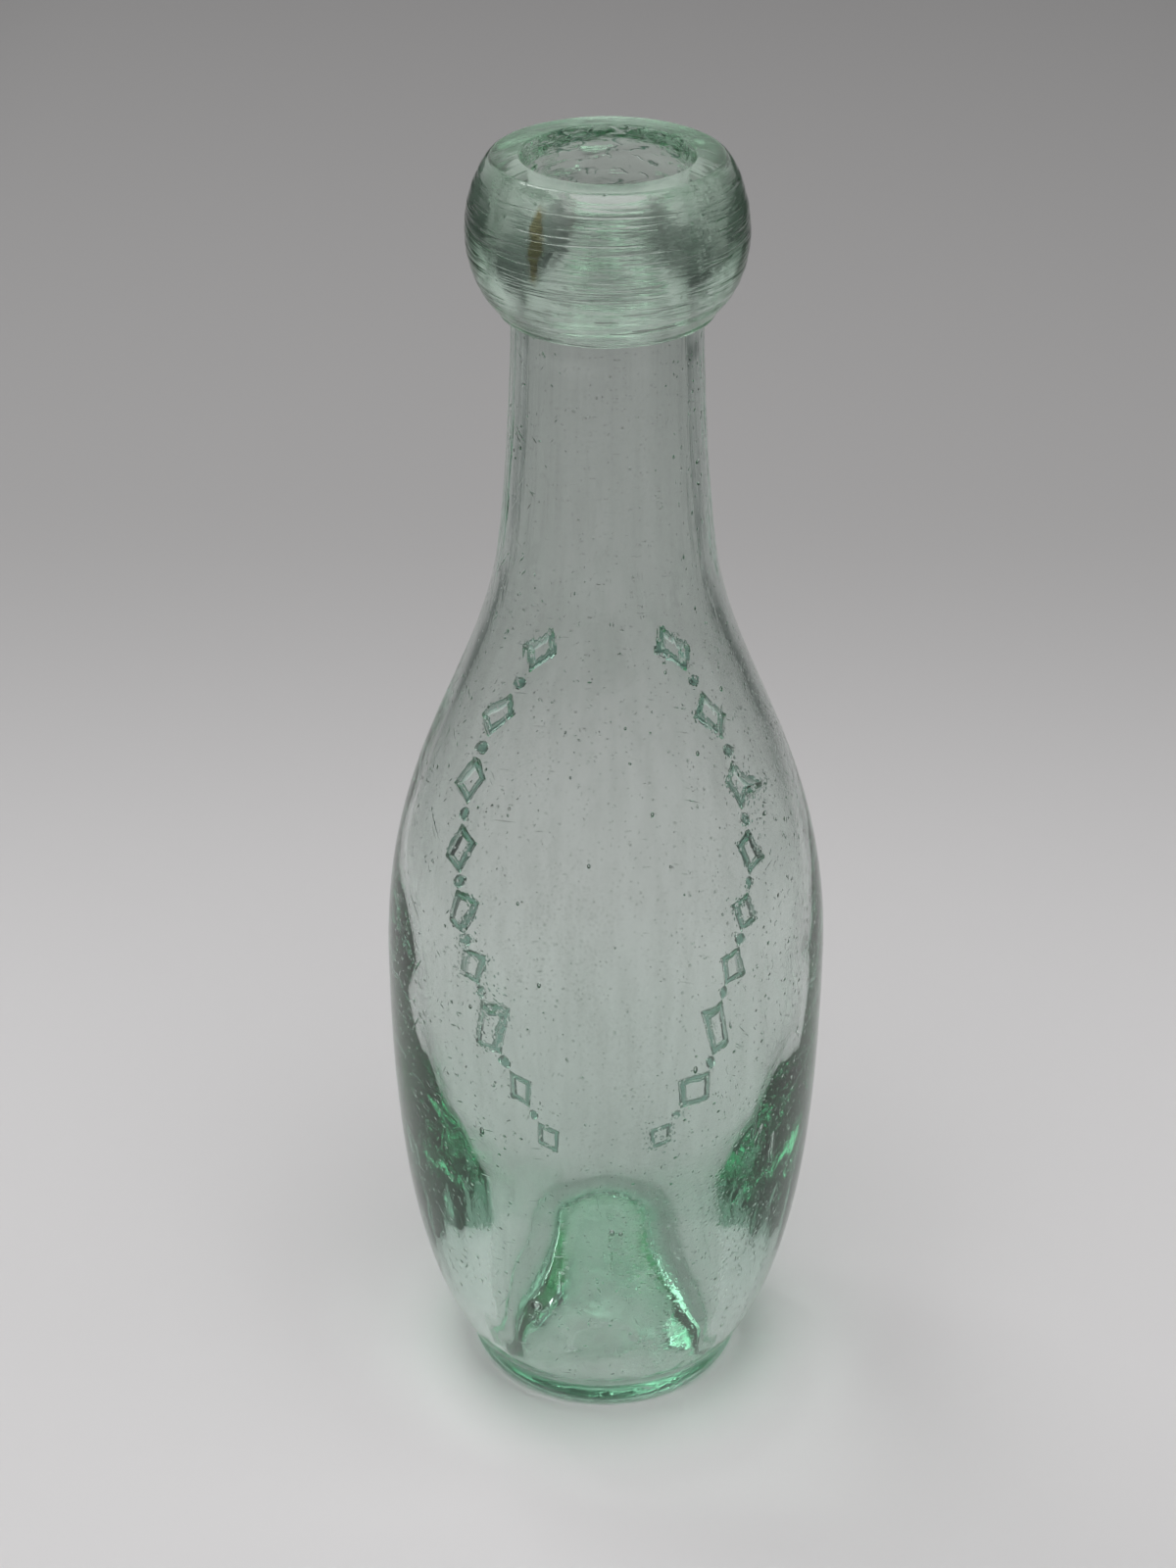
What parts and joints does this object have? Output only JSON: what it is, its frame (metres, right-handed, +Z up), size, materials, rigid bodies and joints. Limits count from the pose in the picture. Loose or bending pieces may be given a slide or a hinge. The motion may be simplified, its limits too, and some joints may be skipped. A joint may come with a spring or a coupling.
{
  "type": "mineral water bottle",
  "caption": "Egg-shaped aqua glass mineral-water bottle with a small flat base, a long tapering neck and a rounded applied blob lip, open at the mouth.",
  "frame": {"origin": "centre of the standing ring, on the surface that the bottle stands on", "axes": "+Z up the bottle's axis to its mouth, -Y towards the viewer of the picture, +X to the viewer's right"},
  "size_m": [0.07, 0.07, 0.21],
  "materials": {
    "body_glass": "gloss",
    "lip_glass": "gloss"
  },
  "bodies": {
    "root": {"blown_body": "body_glass", "applied_lip": "lip_glass"}
  },
  "joints": []
}
